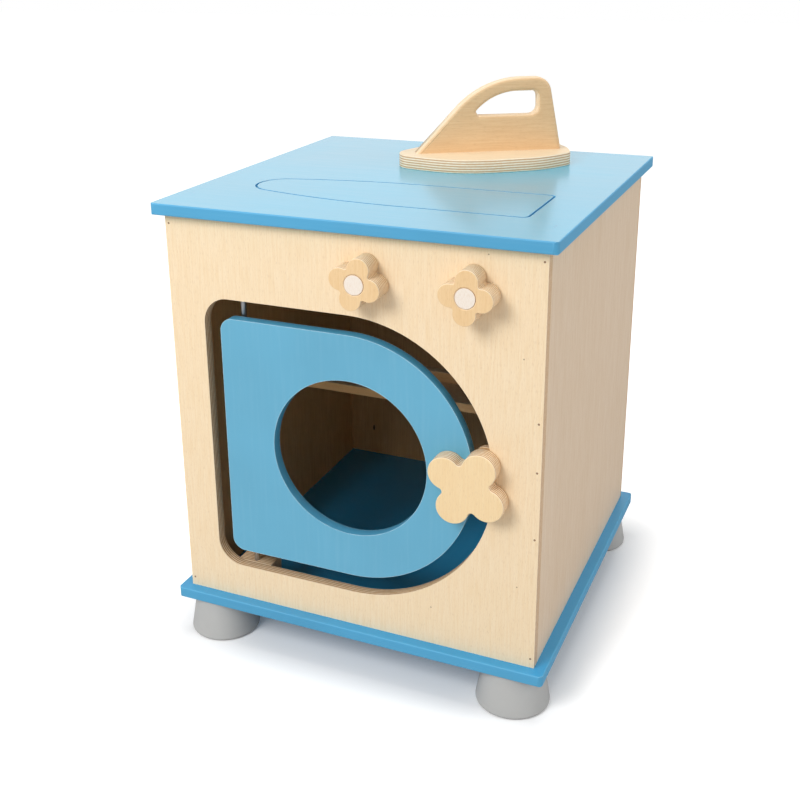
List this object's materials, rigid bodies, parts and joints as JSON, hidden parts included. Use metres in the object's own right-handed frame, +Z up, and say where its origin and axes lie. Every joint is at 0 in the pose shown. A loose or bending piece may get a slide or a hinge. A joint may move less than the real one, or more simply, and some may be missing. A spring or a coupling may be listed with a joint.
{
  "type": "toy washing machine",
  "caption": "Plywood toy front-loading washing machine: round-windowed door on a rod hinge, clover dials, round feet, and a loose toy flat iron on top.",
  "frame": {"origin": "on the floor, under the middle of the toy's outline", "axes": "+X to the right seen from the front, +Y to the back, +Z up; the front panel and dials face -Y"},
  "size_m": [0.424, 0.4364, 0.597],
  "materials": {
    "birch_ply": "pale birch plywood, sanded, clear matt lacquer",
    "side_ply": "birch plywood, sanded, clear matt lacquer, grain upright",
    "door_blue": "birch plywood painted light blue, satin",
    "top_blue": "birch plywood painted sky blue, satin",
    "dowel": "pale beech dowel, end grain showing",
    "foot_grey": "satin pale grey, moulded or turned and painted",
    "steel": "bright drawn steel"
  },
  "bodies": {
    "cabinet": {"base_panel": "top_blue", "front_panel": "birch_ply", "left_side_panel": "side_ply", "right_side_panel": "side_ply", "back_panel": "birch_ply", "top_panel": "top_blue", "cross_shelf": "birch_ply", "shelf_rail": "birch_ply", "upper_hinge_block": "birch_ply", "lower_hinge_block": "birch_ply", "hinge_rod": "steel", "door_stop": "birch_ply", "front_left_foot": "foot_grey", "front_right_foot": "foot_grey", "back_left_foot": "foot_grey", "back_right_foot": "foot_grey", "foot_screws": "steel", "panel_nails": "steel", "top_brads": "steel", "hinge_block_screws": "steel"},
    "door": {"door_panel": "door_blue", "upper_door_block": "birch_ply", "lower_door_block": "birch_ply", "door_block_screws": "steel", "door_handle": "birch_ply", "handle_screws": "steel"},
    "left_dial_turner": {"left_dial": "birch_ply", "left_axle": "dowel", "left_collar": "birch_ply"},
    "right_dial_turner": {"right_dial": "birch_ply", "right_axle": "dowel", "right_collar": "birch_ply"},
    "iron": {"iron_sole": "birch_ply", "iron_body": "birch_ply", "iron_dowels": "dowel"}
  },
  "joints": [
    {"name": "door_hinge", "type": "hinge", "parent": "cabinet", "child": "door", "pos_m": [-0.124, -0.17621, 0.2503], "axis": [0, 0, -1], "range_deg": [0, 115]},
    {"name": "left_dial_turn", "type": "hinge", "parent": "cabinet", "child": "left_dial_turner", "pos_m": [0.021, -0.19421, 0.4436], "axis": [0, 1, 0], "continuous": true},
    {"name": "right_dial_turn", "type": "hinge", "parent": "cabinet", "child": "right_dial_turner", "pos_m": [0.1307, -0.19421, 0.4436], "axis": [0, 1, 0], "continuous": true},
    {"name": "iron_lift", "type": "slide", "parent": "cabinet", "child": "iron", "axis": [0, 0, 1], "range_m": [0, 0.2]}
  ]
}
